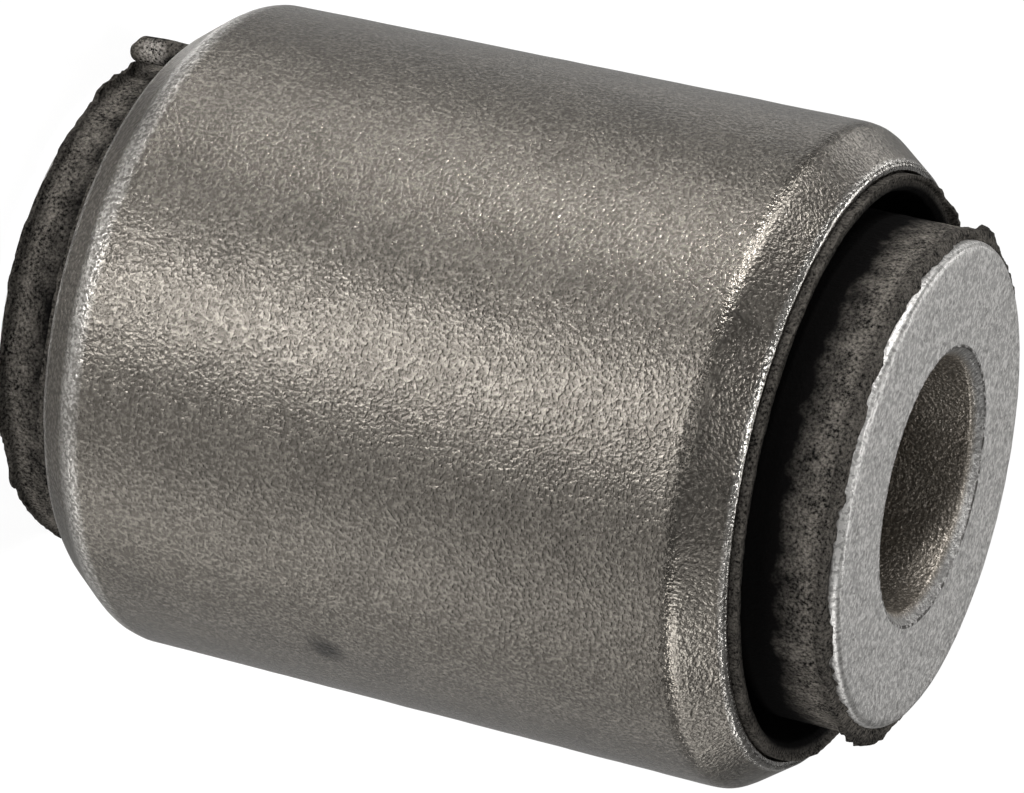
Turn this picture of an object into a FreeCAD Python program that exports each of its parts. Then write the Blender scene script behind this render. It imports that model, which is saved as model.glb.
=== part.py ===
"""A rubber metal bush for a suspension link: three pieces bonded into one.

A turned steel outer sleeve is pressed into the eye of the link. A thick steel inner sleeve
takes the bolt and stands out at both ends, where it is clamped between the bracket's ears.
Rubber moulded between them joins the two. It has a relief groove in each end, a thin skin
out along the inner sleeve, torn flash at the mould's parting lines and one gate stub.

Z is the bush's own axis. The origin is the middle of the lower end face, on which it stands.
All sizes are millimetres, and directions are degrees round Z from +X.
"""
import FreeCAD
import Part
import math
import os
import random

# Driving sizes of the bolt and the inner sleeve
bolt_diameter = 12.0
bolt_play = 0.2
bore_chamfer = 0.55
inner_sleeve_length = 43.5
inner_edge_radius = 0.45

# Driving sizes of the outer sleeve
outer_sleeve_diameter = 32.0
outer_sleeve_length = 35.0
outer_wall = 1.9
lead_in_length = 2.15
lead_in_depth = 1.55
lead_in_bend_radius = 1.6
lip_edge_break = 0.12

# Driving sizes of the rubber. Its wall, between the sleeves, sets the inner sleeve's diameter
rubber_wall = 2.5
skin_thickness = 0.45
skin_end_gap = 0.05
rim_thickness = 0.95
rim_rise = 0.3
rim_bevel = 0.3
groove_depth = 4.5
groove_corner = 0.35

# Torn flash: a fin round each end of the skin, and a low wall on each rim by the steel
fin_thickness = 0.32
fin_reach = 0.5
fin_root = 0.05
rim_flash_thickness = 0.3
rim_flash_height = 0.45
rim_flash_root = 0.06
rim_flash_gap = 0.08
tear_spacing = 0.8

# Where the flash was left long: direction, half width in degrees, share of the full reach
upper_fin_tags = [(8, 26, 0.7), (8, 4, 0.4), (42, 5, 0.4), (70, 8, 0.45), (147, 12, 0.8), (172, 9, 0.5)]
lower_fin_tags = [(60, 30, 0.5), (130, 25, 0.6), (212, 14, 0.6), (238, 5, 0.7), (266, 9, 0.9), (305, 34, 0.6)]
upper_rim_tags = [(157, 7, 0.9), (175, 12, 0.6), (190, 6, 0.4), (20, 22, 0.35)]
lower_rim_tags = [(40, 25, 0.5), (110, 15, 0.7), (300, 20, 0.4)]
upper_fin_seed = 5
lower_fin_seed = 11
upper_rim_seed = 23
lower_rim_seed = 31
ragged_share = 0.3

# Gate stub, where the rubber was fed into the mould
gate_diameter = 1.35
gate_length = 3.0
gate_direction = 206.0
gate_tip_bevel = 0.3

# Worked out from the driving sizes
bore_radius = (bolt_diameter + bolt_play) / 2
outer_radius = outer_sleeve_diameter / 2
seat_radius = outer_radius - outer_wall
inner_radius = seat_radius - rubber_wall
sleeve_low = (inner_sleeve_length - outer_sleeve_length) / 2
sleeve_high = sleeve_low + outer_sleeve_length
skin_radius = inner_radius + skin_thickness
rim_radius = seat_radius - rim_thickness
skin_top = inner_sleeve_length - inner_edge_radius - skin_end_gap
rim_top = sleeve_high + rim_rise
FULL_TURN = 360.0
AXIS = FreeCAD.Vector(0, 0, 1)
ORIGIN = FreeCAD.Vector(0, 0, 0)


def at(radius, height, direction=0.0):
    """A point by its distance from the axis, its height and its direction in degrees."""
    turn = math.radians(direction)
    return FreeCAD.Vector(radius * math.cos(turn), radius * math.sin(turn), height)


def below(point):
    """The same point of a half section, mirrored about mid height."""
    return FreeCAD.Vector(point.x, point.y, inner_sleeve_length - point.z)


def joined(points):
    """Straight edges from each point to the next."""
    return [Part.LineSegment(a, b).toShape() for a, b in zip(points, points[1:])]


def turned(edges):
    """The solid that a closed half section sweeps in one turn about the axis."""
    return Part.Face(Part.Wire(edges)).revolve(ORIGIN, AXIS, FULL_TURN)


def inner_sleeve():
    """Thick turned tube: chamfered at the bore's mouths, its outer edges rounded by two flats."""
    half_flat = inner_edge_radius * (1 - math.sqrt(0.5))
    upper = [
        at(inner_radius, inner_sleeve_length - inner_edge_radius),
        at(inner_radius - half_flat, inner_sleeve_length - half_flat),
        at(inner_radius - inner_edge_radius, inner_sleeve_length),
        at(bore_radius + bore_chamfer, inner_sleeve_length),
        at(bore_radius, inner_sleeve_length - bore_chamfer),
    ]
    lower = [below(point) for point in reversed(upper)]
    return turned(joined(upper + lower + upper[:1]))


def outer_sleeve():
    """Turned tube with a lead-in cone at each end, rounded where the cone meets the outside."""
    slope = math.atan2(lead_in_depth, lead_in_length)
    bend_reach = lead_in_bend_radius * math.tan(slope / 2)
    bend_height = sleeve_high - lead_in_length - bend_reach
    bend_centre = outer_radius - lead_in_bend_radius

    def on_bend(angle):
        return at(
            bend_centre + lead_in_bend_radius * math.cos(angle),
            bend_height + lead_in_bend_radius * math.sin(angle),
        )

    lip_radius = outer_radius - lead_in_depth
    lip_height = sleeve_high - lip_edge_break
    lip = at(lip_radius + lip_edge_break * math.tan(slope), lip_height)
    upper_bend = [on_bend(0), on_bend(slope / 2), on_bend(slope)]
    lower_bend = [below(point) for point in upper_bend]
    lip_face = at(lip_radius - lip_edge_break, sleeve_high)
    seat = at(seat_radius, sleeve_high)
    edges = [Part.Arc(*upper_bend).toShape()]
    end = [upper_bend[2], lip, lip_face, seat]
    edges += joined(end + [below(point) for point in reversed(end)])
    edges.append(Part.Arc(*lower_bend).toShape())
    edges += joined([lower_bend[0], upper_bend[0]])
    return turned(Part.__sortEdges__(edges))


def moulding():
    """The turned form of the rubber: both skins, both grooves and both rims in one section.

    The skin follows the inner sleeve up to its rounded edge. The groove's floor has bevelled
    corners. The rim stands a little above the outer sleeve, bevelled towards the groove.
    """
    groove_low = sleeve_high - groove_depth
    upper = [
        at(inner_radius, skin_top),
        at(skin_radius, skin_top),
        at(skin_radius, groove_low + groove_corner),
        at(skin_radius + groove_corner, groove_low),
        at(rim_radius - groove_corner, groove_low),
        at(rim_radius, groove_low + groove_corner),
        at(rim_radius, rim_top - rim_bevel),
        at(rim_radius + rim_bevel, rim_top),
        at(seat_radius, rim_top),
    ]
    lower = [below(point) for point in reversed(upper)]
    return turned(joined(upper + lower + upper[:1]))


def away(direction, other):
    """Degrees between two directions, the short way round."""
    return abs((direction - other + FULL_TURN / 2) % FULL_TURN - FULL_TURN / 2)


def torn(radius, tags, seed):
    """Directions round a ring and how far the flash was left there, as shares from 0 to 1.

    Each tag is a smooth hump about its direction, and every step adds its own ragged part.
    """
    chance = random.Random(seed)
    count = round(2 * math.pi * radius / tear_spacing)
    steps = []
    for step in range(count):
        direction = FULL_TURN * step / count
        share = ragged_share * chance.random()
        for centre, half_width, left in tags:
            near = max(0.0, 1 - away(direction, centre) / half_width)
            share += left * math.sin(near * math.pi / 2)
        steps.append((direction, min(1.0, share)))
    return steps


def fin(low, tags, seed):
    """Flat torn fin that stands out from the skin, its inside on the inner sleeve."""
    ring = torn(skin_radius, tags, seed)
    points = [at(skin_radius + fin_root + fin_reach * share, low, turn) for turn, share in ring]
    plate = Part.Face(Part.makePolygon(points + points[:1])).extrude(AXIS * fin_thickness)
    return plate.cut(Part.makeCylinder(inner_radius, fin_thickness, at(0, low)))


def stitched(rows):
    """Closed solid whose skin runs from each ring of points to the next, in flat triangles."""
    faces = []
    for first, second in zip(rows, rows[1:] + rows[:1]):
        for a, b, c, d in zip(first, first[1:] + first[:1], second[1:] + second[:1], second):
            faces.append(Part.Face(Part.makePolygon([a, b, c, a])))
            faces.append(Part.Face(Part.makePolygon([a, c, d, a])))
    return Part.Solid(Part.makeShell(faces))


def rim_flash(tags, seed):
    """Thin wall on the upper rim beside the steel, torn off at a different height all round."""
    foot = rim_top - rim_rise / 2
    outside = seat_radius - rim_flash_gap
    inside = outside - rim_flash_thickness
    ring = torn(seat_radius, tags, seed)
    heights = [rim_top + rim_flash_root + rim_flash_height * share for _, share in ring]
    return stitched([
        [at(outside, foot, turn) for turn, _ in ring],
        [at(outside, height, turn) for (turn, _), height in zip(ring, heights)],
        [at(inside, height, turn) for (turn, _), height in zip(ring, heights)],
        [at(inside, foot, turn) for turn, _ in ring],
    ])


def gate_stub():
    """Stub of the gate under the lower rim: a short round peg, bevelled at its torn tip."""
    root = at(seat_radius - gate_diameter / 2, sleeve_low, gate_direction)
    length = gate_length + rim_rise
    peg = Part.makeCylinder(gate_diameter / 2, length - gate_tip_bevel, root, -AXIS)
    tip = Part.makeCone(
        gate_diameter / 2, gate_diameter / 2 - gate_tip_bevel, gate_tip_bevel,
        root - AXIS * (length - gate_tip_bevel), -AXIS,
    )
    return peg.fuse(tip)


def rubber_body():
    """The whole moulding with the fins, the torn walls on the rims and the gate stub."""
    mid_height = at(0, inner_sleeve_length / 2)
    additions = [
        fin(skin_top - fin_thickness, upper_fin_tags, upper_fin_seed),
        fin(inner_sleeve_length - skin_top, lower_fin_tags, lower_fin_seed),
        rim_flash(upper_rim_tags, upper_rim_seed),
        rim_flash(lower_rim_tags, lower_rim_seed).mirror(mid_height, AXIS),
        gate_stub(),
    ]
    return moulding().fuse(additions).removeSplitter()


def export(shape, name):
    """Writes one piece, named as its file."""
    solids = shape.Solids
    if len(solids) != 1 or not shape.isValid():
        raise ValueError(f"{name}: {len(solids)} solids, valid {shape.isValid()}")
    solids[0].exportStep(os.path.join("parts", name + ".step"))
    print(name, "volume", round(solids[0].Volume, 2), "faces", len(solids[0].Faces))


os.makedirs("parts", exist_ok=True)
export(inner_sleeve(), "inner_sleeve")
export(outer_sleeve(), "outer_sleeve")
export(rubber_body(), "rubber_body")
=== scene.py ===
from math import ceil, cos, pi, radians, sin

import bpy
import numpy as np
from mathutils import Matrix, Vector


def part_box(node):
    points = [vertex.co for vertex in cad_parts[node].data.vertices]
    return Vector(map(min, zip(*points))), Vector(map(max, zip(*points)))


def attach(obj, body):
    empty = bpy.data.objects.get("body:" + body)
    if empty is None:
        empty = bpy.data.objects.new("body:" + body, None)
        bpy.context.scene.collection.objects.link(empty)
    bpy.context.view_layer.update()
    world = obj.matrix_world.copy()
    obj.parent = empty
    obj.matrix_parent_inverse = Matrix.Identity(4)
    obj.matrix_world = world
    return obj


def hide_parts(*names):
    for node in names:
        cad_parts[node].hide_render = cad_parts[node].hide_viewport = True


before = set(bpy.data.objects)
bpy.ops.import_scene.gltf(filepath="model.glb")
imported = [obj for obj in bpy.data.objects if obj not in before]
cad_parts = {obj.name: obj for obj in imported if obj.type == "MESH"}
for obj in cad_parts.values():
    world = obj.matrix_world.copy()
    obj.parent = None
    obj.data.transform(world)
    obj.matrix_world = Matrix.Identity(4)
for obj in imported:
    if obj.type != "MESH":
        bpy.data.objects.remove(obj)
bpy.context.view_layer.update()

mm = 0.001

# The camera: a long lens beside the bush and a little above its middle. It is rolled on its
# side, so that the bush, which stands on its end, lies across the picture as it was shot.
picture_width = 1024
focal_length_pixels = 5031.1
sensor_width = 36.0
camera_elevation = radians(22.161)
camera_roll = radians(103.032)
camera_distance = 241.4 * mm
camera_aim = Vector((0.321 * mm, 0, 21.898 * mm))
nearest_seen = 10 * mm

camera_back = Vector((0, -cos(camera_elevation), sin(camera_elevation)))
level_up = Vector((0, sin(camera_elevation), cos(camera_elevation)))
level_right = Vector((1, 0, 0))
camera_right = cos(camera_roll) * level_right + sin(camera_roll) * level_up
camera_up = cos(camera_roll) * level_up - sin(camera_roll) * level_right
camera_data = bpy.data.cameras.new("camera")
camera_data.sensor_width = sensor_width
camera_data.lens = focal_length_pixels / picture_width * sensor_width
camera_data.clip_start = nearest_seen
camera = bpy.data.objects.new("camera", camera_data)
turned_axes = Matrix((camera_right, camera_up, camera_back)).transposed().to_4x4()
camera.matrix_world = Matrix.Translation(camera_aim + camera_back * camera_distance) @ turned_axes
bpy.context.scene.collection.objects.link(camera)
bpy.context.scene.camera = camera

# The inner sleeve: a thick turned steel tube that takes the bolt. It is blasted all over to a
# light matt grey before the rubber is bonded to it, and its bore stays rougher and darker.
inner_low, inner_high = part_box("inner_sleeve")
inner_radius = inner_high.x / mm
bush_top = inner_high.z / mm
bore_radius = 6.1
bore_chamfer = 0.55
inner_edge_bend = 0.5
chamfer_bend = 0.06
bore_bend = 0.1
inner_spacing = 0.7
inner_columns = 520
inner_set_in = 0.014
inner_dent_depth = 0.006

inner_craters_per_metre = 5000.0
pits_per_metre = 3600.0
specks_per_metre = 8000.0
inner_relief = 0.08
hollow_grey = (0.34, 0.332, 0.32, 1)
crest_grey = (0.61, 0.596, 0.576, 1)
pit_grey = (0.2, 0.194, 0.185, 1)
# Lighter grey for the rounded edges: partly wear, partly a painted highlight.
rubbed_and_highlight_grey = (0.7, 0.685, 0.66, 1)
bore_brown = (0.25, 0.226, 0.193, 1)
bore_speck = (0.66, 0.6, 0.53, 1)
# Dark grey for a broken line along the bore chamfer's outer edge.
chamfer_line_dark = (0.06, 0.055, 0.05, 1)
inner_metallic = 0.9
inner_roughness = 0.45


def ring_directions(columns):
    """The directions of a ring's columns: a full turn divided evenly."""
    return 2 * pi * np.arange(columns) / columns


def section(corners, spacing, turns, bend_points=7, most=100):
    """Grids of radius and height for a closed section, one column for each direction.

    A corner is (radius, height, bend), and its radius and height may differ by direction.
    Straight sides stop short of the corner by its bend, and the parabola with the corner
    as its middle pole joins them. Sides are divided evenly, at about the spacing, but never
    into more pieces than the given most, because the longest sides are plain or hidden.
    """
    middle = np.array([
        [np.broadcast_to(across, turns.shape), np.broadcast_to(up, turns.shape)] for across, up, _ in corners
    ])
    bend = np.array([corner[2] for corner in corners])[:, None, None]
    onward = np.roll(middle, -1, 0) - middle
    length = np.sqrt((onward ** 2).sum(1, keepdims=True))
    along = onward / length
    leave = middle + along * bend
    arrive = middle - np.roll(along, 1, 0) * bend
    rows = []
    for k in range(len(corners)):
        u = np.linspace(0, 1, bend_points if corners[k][2] else 1)[:, None, None]
        rows.append((1 - u) ** 2 * arrive[k] + 2 * u * (1 - u) * middle[k] + u ** 2 * leave[k])
        side = arrive[(k + 1) % len(corners)] - leave[k]
        pieces = min(ceil(np.sqrt((side ** 2).sum(0)).mean() / spacing), most)
        u = (np.arange(1, pieces) / pieces)[:, None, None]
        rows.append(leave[k] + u * side)
    grid = np.concatenate(rows)
    return grid[:, 0], grid[:, 1]


def swell(radius, height, amount):
    """The section's points moved outwards by an amount, square to the line between neighbours."""
    across = np.roll(radius, -1, 0) - np.roll(radius, 1, 0)
    upward = np.roll(height, -1, 0) - np.roll(height, 1, 0)
    length = np.hypot(across, upward)
    return radius + amount * upward / length, height - amount * across / length


def waves(radius, height, turns, longest, shortest, seed, count=90):
    """Smooth seeded unevenness over a turned surface, mostly between -1 and 1.

    It is a sum of plane waves. Each has a whole number of crests round the axis and its own
    slope along the surface, with wavelengths spread between the longest and the shortest.
    """
    chance = np.random.default_rng(seed)
    wavelength = np.exp(chance.uniform(np.log(shortest), np.log(longest), count))
    heading = chance.uniform(0, pi, count)
    phase = chance.uniform(0, 2 * pi, count)
    mean_radius = radius.mean()
    total = np.zeros(radius.shape)
    for size, way, start in zip(wavelength, heading, phase):
        crests = round(2 * pi * mean_radius / size * cos(way))
        total += np.cos(crests * turns + 2 * pi / size * sin(way) * (height + radius) + start)
    return total / np.sqrt(count)


def ring_piece(name, radius, height, turns):
    """A closed skin round the axis, from grids of radius and height in millimetres.

    Row i is one point of the section and column j one direction, and the point stands at
    radius times cosine and sine of the direction, and the height. Both ways close on themselves.
    """
    places = np.stack([radius * np.cos(turns), radius * np.sin(turns), height], -1).reshape(-1, 3) * mm
    here = np.arange(radius.size).reshape(radius.shape)
    beside = np.roll(here, -1, 1)
    above = np.roll(here, -1, 0)
    corner = np.roll(beside, -1, 0)
    quads = np.stack([here, beside, corner, above], -1).reshape(-1, 4)
    return shown_piece(name, places, quads)


def shown_piece(name, places, quads):
    """A smooth-shaded object from its points and its four-sided faces."""
    mesh = bpy.data.meshes.new(name)
    mesh.from_pydata(places, [], quads)
    mesh.shade_smooth()
    piece = bpy.data.objects.new(name, mesh)
    bpy.context.scene.collection.objects.link(piece)
    return piece


directions = ring_directions(inner_columns)
inner_section = [
    (inner_radius, inner_low.z / mm, inner_edge_bend),
    (inner_radius, bush_top, inner_edge_bend),
    (bore_radius + bore_chamfer, bush_top, chamfer_bend),
    (bore_radius, bush_top - bore_chamfer, bore_bend),
    (bore_radius, bore_chamfer, bore_bend),
    (bore_radius + bore_chamfer, 0, chamfer_bend),
]
radius, height = section(inner_section, inner_spacing, directions)
dents = waves(radius, height, directions, longest=3.0, shortest=0.8, seed=3)
radius, height = swell(radius, height, -inner_set_in - inner_dent_depth * np.clip(dents, -2, 2))
inner_sleeve = ring_piece("inner_sleeve_steel", radius, height, directions)


def node(tree, kind, settings=(), **sockets):
    """A shader node of one kind. Sockets are named with underscores for their blanks, or _number."""
    made = tree.nodes.new(kind)
    for key, value in dict(settings).items():
        setattr(made, key, value)
    for key, value in sockets.items():
        socket = made.inputs[int(key[1:])] if key[1:].isdigit() else made.inputs[key.replace("_", " ")]
        if isinstance(value, bpy.types.NodeSocket):
            tree.links.new(value, socket)
        else:
            socket.default_value = value
    return made


def new_material(name):
    """An empty material and its node tree."""
    material = bpy.data.materials.new(name)
    material.use_nodes = True
    material.node_tree.nodes.clear()
    return material, material.node_tree


def maths(tree, what, a, b=0.0, clamp=False):
    """One sum, product or other operation of two numbers."""
    return node(tree, "ShaderNodeMath", {"operation": what, "use_clamp": clamp}, _0=a, _1=b).outputs[0]


def noise(tree, place, per_metre, detail, roughness=0.5):
    """Cloudy noise of about 0.3 to 0.7, so many lumps to the metre, with finer ones for detail."""
    return node(
        tree, "ShaderNodeTexNoise", Vector=place, Scale=per_metre, Detail=detail, Roughness=roughness,
    ).outputs["Fac"]


def fade(tree, value, start, end, low=0.0, high=1.0):
    """A mask that runs evenly from low to high as a value goes from start to end, level beyond."""
    return node(
        tree, "ShaderNodeMapRange", Value=value, From_Min=start, From_Max=end, To_Min=low, To_Max=high,
    ).outputs["Result"]


def coloured(tree, share, under, over, how="MIX"):
    """One colour laid over another by a share."""
    return node(
        tree, "ShaderNodeMix", {"data_type": "RGBA", "blend_type": how}, Factor=share, _6=under, _7=over,
    ).outputs[2]


def off_axis(tree, place):
    """How far a point is from the bush's axis: the length of its X and Y."""
    split = node(tree, "ShaderNodeSeparateXYZ", Vector=place)
    flat = node(tree, "ShaderNodeCombineXYZ", X=split.outputs["X"], Y=split.outputs["Y"])
    return node(tree, "ShaderNodeVectorMath", {"operation": "LENGTH"}, _0=flat.outputs[0]).outputs["Value"]


def show(tree, shader):
    """The material's output, showing a shader."""
    output = node(tree, "ShaderNodeOutputMaterial", Surface=shader)
    output.is_active_output = True


def blasted_grain():
    """A node group for the pebbled skin that shot leaves: rounded craters, with grit between them.

    Height is the craters' share plus the grit's, Glint is its upper part, and Patches are slow
    clouds for stains and wear.
    """
    grit_per_crater = 2.6
    patches_per_crater = 0.06
    crater_share = 0.78
    tree = bpy.data.node_groups.new("blasted grain", "ShaderNodeTree")
    tree.interface.new_socket("Place", in_out="INPUT", socket_type="NodeSocketVector")
    tree.interface.new_socket("Craters per metre", in_out="INPUT", socket_type="NodeSocketFloat")
    for name in ("Height", "Glint", "Patches"):
        tree.interface.new_socket(name, in_out="OUTPUT", socket_type="NodeSocketFloat")
    given = tree.nodes.new("NodeGroupInput").outputs
    place = given["Place"]
    density = given["Craters per metre"]
    craters = noise(tree, place, density, 1.5)
    grit = noise(tree, place, maths(tree, "MULTIPLY", density, grit_per_crater), 1.0)
    patches = noise(tree, place, maths(tree, "MULTIPLY", density, patches_per_crater), 3.0)
    coarse = maths(tree, "MULTIPLY", craters, crater_share)
    fine = maths(tree, "MULTIPLY", grit, 1 - crater_share)
    height = maths(tree, "ADD", coarse, fine)
    node(tree, "NodeGroupOutput", Height=height, Glint=fade(tree, height, 0.44, 0.62), Patches=patches)
    return tree


grain_group = blasted_grain()


def grain_on(tree, place, craters_per_metre):
    """The blasted grain on a surface, with so many craters to the metre."""
    return node(
        tree, "ShaderNodeGroup", {"node_tree": grain_group}, Place=place, Craters_per_metre=craters_per_metre,
    ).outputs


def inner_steel():
    """Light matt blasted steel: its rounded edges lighter as rubbed wear and painted highlight, dark and
    speckled in the bore.
    """
    material, tree = new_material("inner steel")
    place = node(tree, "ShaderNodeTexCoord").outputs["Object"]
    grain = grain_on(tree, place, inner_craters_per_metre)
    pits = noise(tree, place, pits_per_metre, 2.0)
    specks = noise(tree, place, specks_per_metre, 1.0)
    reach = off_axis(tree, place)

    tone = coloured(tree, grain["Glint"], hollow_grey, crest_grey)
    tone = coloured(tree, fade(tree, pits, 0.42, 0.32, high=0.8), tone, pit_grey)
    # The rounded edges turn lighter on the grain's crests, partly as rubbed wear and partly as a painted
    # highlight.
    rounded = fade(tree, reach, (inner_radius - 0.42) * mm, (inner_radius - 0.2) * mm)
    crests = fade(tree, grain["Height"], 0.42, 0.52, low=0.2)
    tone = coloured(tree, maths(tree, "MULTIPLY", rounded, crests), tone, rubbed_and_highlight_grey)

    bore_tone = coloured(tree, fade(tree, specks, 0.53, 0.66), bore_brown, bore_speck)
    in_bore = fade(tree, reach, (bore_radius + 0.3) * mm, (bore_radius + 0.08) * mm)
    tone = coloured(tree, in_bore, tone, bore_tone)

    chamfer_edge = bore_radius + bore_chamfer
    # A broken dark line runs along the chamfer's outer edge.
    off_edge = maths(tree, "ABSOLUTE", maths(tree, "SUBTRACT", reach, (chamfer_edge + 0.03) * mm))
    line = maths(tree, "MULTIPLY", fade(tree, off_edge, 0.1 * mm, 0.05 * mm), fade(tree, pits, 0.42, 0.56))
    tone = coloured(tree, line, tone, chamfer_line_dark)

    rougher_bore = fade(tree, reach, (chamfer_edge + 0.1) * mm, (chamfer_edge - 0.05) * mm, 0.5, 1.0)
    relief = maths(tree, "MULTIPLY", grain["Height"], rougher_bore)
    bump = node(tree, "ShaderNodeBump", Strength=1.0, Distance=inner_relief * mm, Height=relief)
    surface = node(
        tree, "ShaderNodeBsdfPrincipled", Base_Color=tone, Metallic=inner_metallic, Roughness=inner_roughness,
        Normal=bump.outputs["Normal"],
    )
    show(tree, surface.outputs["BSDF"])
    return material


inner_sleeve.data.materials.append(inner_steel())
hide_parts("inner_sleeve")
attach(inner_sleeve, "root")

# The outer sleeve: a turned steel tube with a long lead-in cone at each end, so that it enters
# its eye straight. It is blasted to a coarse pebbled grain and has a warm grey conversion coat.
# The mould left a film of rubber on its end faces.
outer_low, outer_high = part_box("outer_sleeve")
outer_radius = outer_high.x / mm
sleeve_bottom = outer_low.z / mm
sleeve_top = outer_high.z / mm
outer_wall = 1.9
lead_in_length = 2.15
lead_in_depth = 1.55
seat_radius = outer_radius - outer_wall
lip_radius = outer_radius - lead_in_depth
seat_bend = 0.05
lip_bend = 0.2
lead_in_bend = 0.52
outer_spacing = 0.6
outer_columns = 560
outer_set_in = 0.022
outer_dent_depth = 0.007
middle_height = bush_top / 2

outer_craters_per_metre = 5600.0
outer_relief = 0.072
smudge_direction = radians(-30.4)
smudge_height = 18.9
smudge_radius = 1.3
smudge_core = 0.4
smudge_place = (
    outer_radius * cos(smudge_direction) * mm, outer_radius * sin(smudge_direction) * mm, smudge_height * mm,
)
coat_hollow = (0.173, 0.158, 0.138, 1)
coat_crest = (0.33, 0.304, 0.267, 1)
# Bright steel: a painted highlight on the lower bend, and wear with a painted highlight on the lips.
bare_steel_and_highlight = (0.85, 0.82, 0.77, 1)
rubber_film = (0.035, 0.031, 0.027, 1)
barrel_roughness = (0.19, 0.25)
cone_rougher = 0.09
rubbed_and_highlight_smoother = 0.09
cone_softer = 0.25

directions = ring_directions(outer_columns)
outer_section = [
    (seat_radius, sleeve_bottom, seat_bend),
    (lip_radius, sleeve_bottom, lip_bend),
    (outer_radius, sleeve_bottom + lead_in_length, lead_in_bend),
    (outer_radius, sleeve_top - lead_in_length, lead_in_bend),
    (lip_radius, sleeve_top, lip_bend),
    (seat_radius, sleeve_top, seat_bend),
]
radius, height = section(outer_section, outer_spacing, directions)
dents = waves(radius, height, directions, longest=6.0, shortest=1.2, seed=7)
radius, height = swell(radius, height, -outer_set_in - outer_dent_depth * np.clip(dents, -2, 2))
outer_sleeve = ring_piece("outer_sleeve_steel", radius, height, directions)


def off_height(tree, place, level):
    """How far a point is above or below a level."""
    split = node(tree, "ShaderNodeSeparateXYZ", Vector=place)
    return maths(tree, "ABSOLUTE", maths(tree, "SUBTRACT", split.outputs["Z"], level * mm))


def off_spot(tree, place, spot):
    """How far a point is from a spot."""
    return node(tree, "ShaderNodeVectorMath", {"operation": "DISTANCE"}, _0=place, _1=spot).outputs["Value"]


def outer_steel():
    """Warm grey blasted steel: the lower bend painted bright as a painted highlight, the lips rubbed bright
    as wear and painted highlight, rubber on its ends.
    """
    material, tree = new_material("outer steel")
    place = node(tree, "ShaderNodeTexCoord").outputs["Object"]
    grain = grain_on(tree, place, outer_craters_per_metre)
    reach = off_axis(tree, place)
    off_middle = off_height(tree, place, middle_height)
    lip_limit = sleeve_top - middle_height
    bend_limit = lip_limit - lead_in_length

    # The lower bend is painted bright as a painted highlight. The lips are rubbed bright, partly wear and
    # partly painted highlight.
    lower_bend_highlight = fade(tree, off_height(tree, place, sleeve_bottom + lead_in_length), 0.7 * mm, 0.2 * mm)
    lip_wear_and_highlight = fade(tree, off_middle, (lip_limit - 0.36) * mm, (lip_limit - 0.16) * mm)
    rubbed_and_highlight = maths(tree, "MAXIMUM", lower_bend_highlight, lip_wear_and_highlight)
    rubbed_and_highlight = maths(tree, "MULTIPLY", rubbed_and_highlight, maths(tree, "ADD", grain["Patches"], 0.35), clamp=True)
    rubbed_and_highlight = maths(tree, "MULTIPLY", rubbed_and_highlight, maths(tree, "ADD", grain["Glint"], 0.4), clamp=True)
    tone = coloured(tree, grain["Glint"], coat_hollow, coat_crest)
    tone = coloured(tree, rubbed_and_highlight, tone, bare_steel_and_highlight)

    stained = fade(tree, grain["Patches"], 0.3, 0.5, 0.86, 1.0)
    smudge = fade(tree, off_spot(tree, place, smudge_place), smudge_radius * mm, smudge_core * mm)
    clean = maths(tree, "SUBTRACT", stained, maths(tree, "MULTIPLY", smudge, 0.7))
    tone = coloured(tree, 1.0, tone, clean, "MULTIPLY")

    on_end = fade(tree, off_middle, (lip_limit - 0.1) * mm, (lip_limit - 0.05) * mm)
    within_lip = fade(tree, reach, (lip_radius - 0.06) * mm, (lip_radius - 0.12) * mm)
    film = maths(tree, "MULTIPLY", maths(tree, "MULTIPLY", on_end, within_lip), 0.85)
    tone = coloured(tree, film, tone, rubber_film)

    on_cone = fade(tree, off_middle, (bend_limit - 0.3) * mm, (bend_limit + 0.3) * mm)
    rough = fade(tree, grain["Patches"], 0.3, 0.7, *barrel_roughness)
    rough = maths(tree, "ADD", rough, maths(tree, "MULTIPLY", on_cone, cone_rougher))
    rough = maths(tree, "SUBTRACT", rough, maths(tree, "MULTIPLY", rubbed_and_highlight, rubbed_and_highlight_smoother))
    softer = maths(tree, "SUBTRACT", 1.0, maths(tree, "MULTIPLY", on_cone, cone_softer))
    relief = maths(tree, "MULTIPLY", maths(tree, "SUBTRACT", grain["Height"], 0.5), softer)
    bump = node(tree, "ShaderNodeBump", Strength=1.0, Distance=outer_relief * mm, Height=relief)
    surface = node(
        tree, "ShaderNodeBsdfPrincipled", Base_Color=tone, Metallic=1.0, Roughness=rough,
        Normal=bump.outputs["Normal"],
    )
    show(tree, surface.outputs["BSDF"])
    return material


outer_sleeve.data.materials.append(outer_steel())
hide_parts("outer_sleeve")
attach(outer_sleeve, "root")

# The rubber: one black moulding, cured and bonded between the two sleeves in the mould. It has
# a relief groove in each end, a thin skin out along the inner sleeve, and flash torn off where
# the mould's parts met.
rubber_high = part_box("rubber_body")[1]
skin_radius = inner_radius + 0.45
skin_top = rubber_high.z / mm
rim_radius = seat_radius - 0.95
rim_rise = 0.3
groove_depth = 4.5
groove_bend = 0.5
fin_thickness = 0.32
fin_reach = 0.5
wall_thickness = 0.3
wall_height = 0.45
wall_gap = 0.1
rubber_spacing = 0.4
rubber_columns = 520
lump_height = 0.012
upper_seed = 21
lower_seed = 51

rubber_specks_per_metre = 6500.0
blotches_per_metre = 900.0
rubber_relief = 0.08
# A painted highlight on the gate stub's side: its middle, reach and core in millimetres.
gate_highlight_place = (-11.85 * mm, -6.5 * mm, 2.2 * mm)
gate_highlight_radius = 0.95
gate_highlight_core = 0.3
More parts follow.
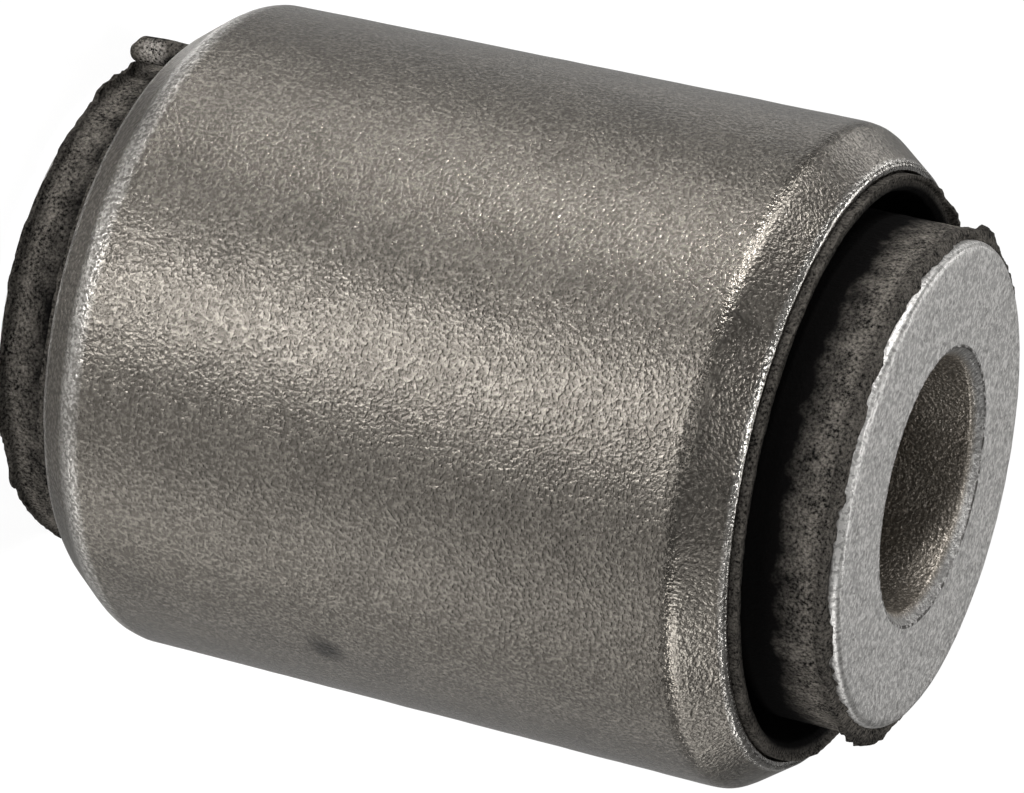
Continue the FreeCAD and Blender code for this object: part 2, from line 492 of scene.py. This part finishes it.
# The rubber's black, which also stands as painted shadow where the bloom is kept off.
rubber_black_and_shade = (0.0035, 0.0032, 0.0031, 1)
bloom_grey = (0.31, 0.283, 0.248, 1)
# Light grey of the painted highlight on the gate stub.
gate_highlight_grey = (0.75, 0.7, 0.64, 1)
rubber_roughness = 0.85
rubber_gloss = 0.06

# Where flash was left long: direction and half width in degrees, and height as a share of the most.
upper_fin_tags = [(8, 26, 0.7), (8, 3, 0.5), (42, 5, 0.4), (70, 8, 0.45), (147, 12, 0.8), (172, 9, 0.5)]
lower_fin_tags = [
    (60, 30, 0.5), (130, 25, 0.6), (212, 14, 0.6), (238, 5, 0.7),
    (266, 9, 0.9), (305, 34, 0.6), (275, 95, 0.4),
]
upper_rim_tags = [(157, 7, 0.9), (175, 12, 0.6), (190, 6, 0.4), (20, 22, 0.35)]
lower_rim_tags = [(40, 25, 0.5), (110, 15, 0.7), (300, 20, 0.4)]


def left_long(tags, turns):
    """How much flash was left by direction: a sum of tags, each rising and falling by a quarter sine."""
    share = np.zeros(turns.shape)
    for centre, half_width, left in tags:
        away = np.abs((np.degrees(turns) - centre + 180) % 360 - 180)
        share += left * np.sin(np.clip(1 - away / half_width, 0, 1) * pi / 2)
    return share


def torn_edge(turns, pieces, seed, level=0.0):
    """A torn edge by direction, from 0 to 1: straight lines between seeded, uneven points.

    Each piece first stays level for its share of the way, and then runs to the next height.
    """
    chance = np.random.default_rng(seed)
    starts = np.sort(chance.uniform(0, 2 * pi, pieces))
    ends = starts + level * ((np.roll(starts, -1) - starts) % (2 * pi))
    depth = chance.uniform(0, 1, pieces) ** 1.5
    return np.interp(turns, np.append(starts, ends), np.append(depth, depth), period=2 * pi)


def rubber_end(turns, fin_tags, rim_tags, seed):
    """Corners of the upper end's section, from the seat on the outer sleeve to the inner one.

    The fin's reach and the rim's torn wall are the tags roughened by torn edges. The fin curls
    down by another torn edge, and the skin creeps unevenly over the inner sleeve's edge.
    """
    coarse = torn_edge(turns, 90, seed, 0.7)
    fine = torn_edge(turns, 260, seed + 1)
    reach = left_long(fin_tags, turns) * (0.45 + 0.9 * coarse + 0.25 * fine) + 0.12 * coarse + 0.08 * fine
    reach = fin_reach * np.clip(reach, 0.02, 0.95)
    wall = left_long(rim_tags, turns) * (0.6 + 0.7 * torn_edge(turns, 60, seed + 2))
    wall = wall_height * np.clip(wall + 0.25 * torn_edge(turns, 150, seed + 3), 0.02, 1)
    creep = 0.28 * torn_edge(turns, 110, seed + 4, 0.4) + 0.16 * torn_edge(turns, 280, seed + 5)
    curl = 0.3 * torn_edge(turns, 60, seed + 6, 0.4)
    wall_foot = seat_radius - wall_gap
    top = sleeve_top + rim_rise
    groove_floor = sleeve_top - groove_depth
    fin_low = skin_top - fin_thickness
    return [
        # the seat, and the torn wall beside the outer sleeve
        (seat_radius, sleeve_top - 0.7, 0),
        (wall_foot, sleeve_top - 0.5, 0),
        (wall_foot, top + wall, 0.02),
        (wall_foot - wall_thickness * 0.6, top + wall, 0.04),
        (wall_foot - wall_thickness, top, 0.03),
        # the rim and the groove
        (rim_radius + 0.25, top, 0.08),
        (rim_radius, top - 0.3, 0.1),
        (rim_radius, groove_floor, groove_bend),
        (skin_radius, groove_floor, groove_bend),
        # the torn fin round the skin's end
        (skin_radius, fin_low - 0.05 - curl, 0),
        (skin_radius + 0.05 + reach, fin_low + 0.06 - curl, 0.02),
        (skin_radius + 0.02 + reach * 0.85, skin_top - 0.05 - 0.3 * curl, 0.03),
        (skin_radius - 0.15, skin_top + 0.01, 0.04),
        # the skin's ragged edge on the inner sleeve
        (inner_radius + 0.05, skin_top - 0.08 + 0.8 * creep, 0),
        (inner_radius + 0.01 - 0.3 * creep ** 2, skin_top - 0.1 + creep, 0),
        (inner_radius - 0.45, skin_top - 0.3, 0),
    ]


def mirrored(corners):
    """The same corners under mid height, in turned order so that the section still closes."""
    return [(across, bush_top - up, bend) for across, up, bend in reversed(corners)]


directions = ring_directions(rubber_columns)
upper_end = rubber_end(directions, upper_fin_tags, upper_rim_tags, upper_seed)
lower_end = rubber_end(directions, lower_fin_tags, lower_rim_tags, lower_seed)
both_ends = upper_end + mirrored(lower_end)
radius, height = section(both_ends, rubber_spacing, directions, bend_points=4, most=20)
lumps = waves(radius, height, directions, longest=1.6, shortest=0.35, seed=13)
radius, height = swell(radius, height, lump_height * lumps - lump_height)
rubber = ring_piece("rubber_moulding", radius, height, directions)


def black_rubber():
    """Black rubber: black in the grooves and on fresh tears, dull with grey bloom further out; the skin
    beside the rims, the rims' inner part and the skin under the fins stay black as painted shadow.
    """
    material, tree = new_material("black rubber")
    place = node(tree, "ShaderNodeTexCoord").outputs["Object"]
    speckle = noise(tree, place, rubber_specks_per_metre, 3.0, 0.7)
    blotch = noise(tree, place, blotches_per_metre, 3.0)
    reach = off_axis(tree, place)
    off_middle = off_height(tree, place, middle_height)
    ragged_limit = maths(tree, "MULTIPLY", maths(tree, "SUBTRACT", blotch, 0.5), 1.6 * mm)
    out_along = maths(tree, "ADD", off_middle, ragged_limit)
    rim_limit = sleeve_top - middle_height
    fin_limit = skin_top - fin_thickness - middle_height

    # Painted shadow: the skin stays black for about 1.2 to 3 mm past the rim, where the outer sleeve's lip
    # shades it, and is darker just under the fin as painted shade.
    skin_bloom_past_shadow = fade(tree, out_along, (rim_limit + 1.2) * mm, (rim_limit + 3.0) * mm)
    shade_under_fin = fade(tree, out_along, (fin_limit - 0.6) * mm, (fin_limit - 0.1) * mm, high=0.45)
    skin_bloom_past_shadow = maths(tree, "SUBTRACT", skin_bloom_past_shadow, shade_under_fin, clamp=True)
    # Painted shade: the rim's inner part stays black, and only its outer part takes half the bloom.
    rim_bloom_past_shade = fade(tree, reach, (rim_radius + 0.2) * mm, (rim_radius + 0.6) * mm)
    bloom_outside_shade = maths(tree, "MAXIMUM", skin_bloom_past_shadow, maths(tree, "MULTIPLY", rim_bloom_past_shade, 0.5))

    on_fin = fade(tree, off_middle, (fin_limit - 0.4) * mm, (fin_limit - 0.3) * mm)
    past_skin = fade(tree, reach, (skin_radius + 0.02) * mm, (skin_radius + 0.1) * mm)
    inside_rim = fade(tree, reach, (rim_radius + 0.1) * mm, rim_radius * mm)
    torn = maths(tree, "MULTIPLY", maths(tree, "MULTIPLY", on_fin, past_skin), inside_rim)
    unbroken = maths(tree, "SUBTRACT", 1.0, maths(tree, "MULTIPLY", torn, 0.4))

    clouds = maths(tree, "ADD", speckle, maths(tree, "MULTIPLY", blotch, 0.3))
    bloom = maths(tree, "MULTIPLY", fade(tree, clouds, 0.5, 0.85), maths(tree, "MULTIPLY", bloom_outside_shade, unbroken))
    tone = coloured(tree, bloom, rubber_black_and_shade, bloom_grey)

    # Painted highlight: a light grey speckled patch on the gate stub's side.
    near_gate_highlight = fade(tree, off_spot(tree, place, gate_highlight_place), gate_highlight_radius * mm, gate_highlight_core * mm)
    gate_highlight = maths(tree, "MULTIPLY", near_gate_highlight, fade(tree, speckle, 0.38, 0.62))
    tone = coloured(tree, gate_highlight, tone, gate_highlight_grey)
    bump = node(tree, "ShaderNodeBump", Strength=1.0, Distance=rubber_relief * mm, Height=speckle)
    surface = node(
        tree, "ShaderNodeBsdfPrincipled", Base_Color=tone, Roughness=rubber_roughness,
        Specular_IOR_Level=rubber_gloss, Normal=bump.outputs["Normal"],
    )
    show(tree, surface.outputs["BSDF"])
    return material


rubber_finish = black_rubber()
rubber.data.materials.append(rubber_finish)
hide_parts("rubber_body")
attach(rubber, "root")

# The gate stub: the short peg of rubber left under the lower rim, where the mould was fed and the sprue
# was twisted off. Its tip is torn into two lobes, and a painted highlight lies light grey on its side.
gate_radius = 0.675
gate_direction = radians(206.0)
gate_out = seat_radius - gate_radius
gate_top = sleeve_bottom + 0.3
gate_tip = 0.95
tip_share = 0.2
root_share = 0.06
lobe_length = 0.2
gate_rows = 60
gate_columns = 64


def gate_surface():
    """A peg along the axis: round, capped by half ellipses, its tip swollen into two lobes.

    The radius is the peg's times the square root of one minus the cap's share to the fourth,
    and the tip has two levels, longer on the +X side, with a steep step between them.
    """
    along = np.linspace(0, 1, gate_rows)[:, None]
    around = ring_directions(gate_columns)[None, :]
    cap = np.clip((along - (1 - tip_share)) / tip_share, 0, 1)
    root = np.clip((root_share - along) / root_share, 0, 1)
    width = gate_radius * np.sqrt(np.clip(1 - cap ** 4, 0, 1)) * np.sqrt(np.clip(1 - root ** 4, 0, 1))
    width = width * (0.96 + 0.04 * np.cos(2 * around + 0.6) + 0.03 * np.sin(9 * along + around))
    lobes = lobe_length * cap * np.tanh(3 * (np.cos(around) + 0.3))
    x = width * np.cos(around) + gate_out * cos(gate_direction)
    y = width * np.sin(around) + gate_out * sin(gate_direction)
    z = gate_top + (gate_tip - gate_top) * along - lobes * (width / gate_radius)
    return np.stack([x, y, z], -1) * mm


here = np.arange(gate_rows * gate_columns).reshape(gate_rows, gate_columns)
beside = np.roll(here, -1, 1)
quads = np.stack([here[:-1], here[1:], beside[1:], beside[:-1]], -1).reshape(-1, 4)
gate = shown_piece("rubber_gate_stub", gate_surface().reshape(-1, 3), quads)
gate.data.materials.append(rubber_finish)
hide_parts("rubber_body")
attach(gate, "root")

# The floor: a plain pale table with a satin sheen, which mirrors the lamps into the steel. The
# camera sees it close to white, and it keeps a faint part of the shadow that the bush casts.
floor_half = 1.5
table_white = (0.8, 0.8, 0.8, 1)
sheen_white = (0.9, 0.9, 0.9, 1)
sheen_share = 0.6
sheen_roughness = 0.2
white_to_camera = 0.72
white_to_steel = 0.45
brightness_to_camera = 1.28
brightness_to_steel = 0.34

floor_corners = [(x * floor_half, y * floor_half, 0) for x, y in ((-1, -1), (1, -1), (1, 1), (-1, 1))]
floor = shown_piece("floor", floor_corners, [(0, 1, 2, 3)])


def pale_table():
    """Matt and satin white, mixed with a plain white that only the camera and the steel see."""
    material, tree = new_material("pale floor")
    path = node(tree, "ShaderNodeLightPath").outputs
    seen = maths(tree, "MULTIPLY", path["Is Camera Ray"], white_to_camera)
    mirrored_share = maths(tree, "MULTIPLY", path["Is Glossy Ray"], white_to_steel)
    white_share = maths(tree, "ADD", seen, mirrored_share)
    brightness = fade(tree, path["Is Glossy Ray"], 0.0, 1.0, brightness_to_camera, brightness_to_steel)
    matt = node(tree, "ShaderNodeBsdfDiffuse", Color=table_white).outputs[0]
    sheen = node(tree, "ShaderNodeBsdfAnisotropic", Color=sheen_white, Roughness=sheen_roughness).outputs[0]
    table = node(tree, "ShaderNodeMixShader", _0=sheen_share, _1=matt, _2=sheen).outputs[0]
    white = node(tree, "ShaderNodeEmission", Color=(1, 1, 1, 1), Strength=brightness).outputs[0]
    show(tree, node(tree, "ShaderNodeMixShader", _0=white_share, _1=table, _2=white).outputs[0])
    return material


floor.data.materials.append(pale_table())
floor_alone = bpy.data.collections.new("floor alone")
floor_alone.objects.link(floor)

# The light: a soft even world, large soft lamps round the bush, and strips that light the table
# alone, so that its sheen carries them into the steel as even bands.
world_strength = 0.085
lamp_distance = 420

# Each as its direction, 0 on the camera's side and 90 at +X, and how high it stands, both in
# degrees, its width and height in millimetres, and its power in watts.
strips_on_table = [
    ("front strip", -3, 22, 150, 110, 1.18),
    ("front strip's left edge", -20, 22, 40, 110, 0.18),
    ("front strip's right edge", 10, 22, 40, 110, 0.155),
    ("narrow left strip", -40, 22, 40, 110, 0.08),
    ("narrow right strip", 40, 22, 60, 110, 0.083),
    ("far left strip", -100, 22, 40, 110, 0.085),
]
soft_lamps = [
    ("soft front", -3, 22, 150, 110, 0.12),
    ("low on the left", -60, 10, 40, 40, 0.6),
    ("left", -85, 22, 60, 80, 0.28),
    ("right", 76, 22, 220, 110, 0.44),
    ("high on the right", 60, 50, 80, 80, 0.05),
    ("over the far bend", -27, 72, 80, 80, 0.29),
    ("low behind on the right", 118, 15, 90, 80, 0.1),
    ("low behind on the left", -134, 11, 110, 80, 0.09),
    ("high behind on the left", -150, 40, 120, 120, 0.205),
    ("behind the face", 180, 30, 150, 150, 0.064),
    ("over the face", 180, 60, 150, 150, 0.24),
]


def hung_lamp(name, direction, elevation, width, tall, power):
    """A rectangle of light that faces the middle of the bush, unseen by the camera."""
    data = bpy.data.lights.new(name, "AREA")
    data.shape = "RECTANGLE"
    data.size = width * mm
    data.size_y = tall * mm
    data.energy = power
    lamp = bpy.data.objects.new(name, data)
    turn = radians(direction)
    lift = radians(elevation)
    back = Vector((sin(turn) * cos(lift), -cos(turn) * cos(lift), sin(lift)))
    lamp.location = Vector((0, 0, middle_height * mm)) + back * lamp_distance * mm
    lamp.rotation_euler = back.to_track_quat("Z", "Y").to_euler()
    lamp.visible_camera = False
    bpy.context.scene.collection.objects.link(lamp)
    return lamp


for strip in strips_on_table:
    hung_lamp(*strip).light_linking.receiver_collection = floor_alone
for soft_lamp in soft_lamps:
    hung_lamp(*soft_lamp)

world = bpy.data.worlds.new("studio")
bpy.context.scene.world = world
world.use_nodes = True
world.node_tree.nodes["Background"].inputs["Color"].default_value = (1, 1, 1, 1)
world.node_tree.nodes["Background"].inputs["Strength"].default_value = world_strength
bpy.context.scene.view_settings.view_transform = "Standard"
